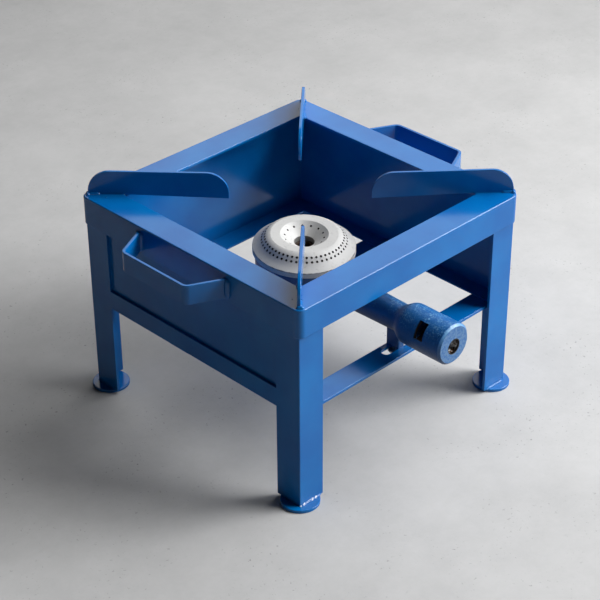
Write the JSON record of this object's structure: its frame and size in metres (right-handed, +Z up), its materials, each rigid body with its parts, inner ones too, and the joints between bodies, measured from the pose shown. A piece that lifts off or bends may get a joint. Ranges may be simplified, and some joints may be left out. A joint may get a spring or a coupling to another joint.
{
  "type": "single burner stove",
  "caption": "Low square gas stove of welded steel angle with pan supports, carrying handles and a cast burner on two cross bars, under a loose ported cap that lifts off.",
  "frame": {"origin": "on the floor, in the middle of the four feet and under the centre of the square top frame", "axes": "+Z up, -Y out of the open front along the gas inlet, +X to the right as seen from the front"},
  "size_m": [0.372, 0.3545, 0.2449],
  "materials": {
    "blue_paint": "satin blue enamel",
    "painted_casting": "blue enamel on rough casting",
    "cap_aluminium": "as cast, machined faces",
    "fastener_steel": "zinc plated"
  },
  "bodies": {
    "stand": {"frame_bar_front": "blue_paint", "frame_bar_rear": "blue_paint", "frame_bar_left": "blue_paint", "frame_bar_right": "blue_paint", "leg_front_left": "blue_paint", "leg_front_right": "blue_paint", "leg_rear_left": "blue_paint", "leg_rear_right": "blue_paint", "foot_front_left": "blue_paint", "foot_front_right": "blue_paint", "foot_rear_left": "blue_paint", "foot_rear_right": "blue_paint", "pan_support_front_left": "blue_paint", "pan_support_front_right": "blue_paint", "pan_support_rear_left": "blue_paint", "pan_support_rear_right": "blue_paint", "side_panel_left": "blue_paint", "side_panel_right": "blue_paint", "rear_panel": "blue_paint", "lower_rail_left": "blue_paint", "lower_rail_right": "blue_paint", "lower_rail_rear": "blue_paint", "burner_bar_front": "blue_paint", "burner_bar_rear": "blue_paint", "handle_left": "blue_paint", "handle_right": "blue_paint"},
    "burner": {"burner_body": "painted_casting", "burner_bolt": "fastener_steel", "bolt_washer": "fastener_steel"},
    "cap": {"burner_cap": "cap_aluminium"}
  },
  "joints": [
    {"name": "burner_adjust", "type": "slide", "parent": "stand", "child": "burner", "axis": [1, 0, 0], "range_m": [-0.017, 0.017]},
    {"name": "cap_lift", "type": "slide", "parent": "burner", "child": "cap", "axis": [-0.0173, -0.0475, 0.9987], "range_m": [0, 0.12]}
  ]
}
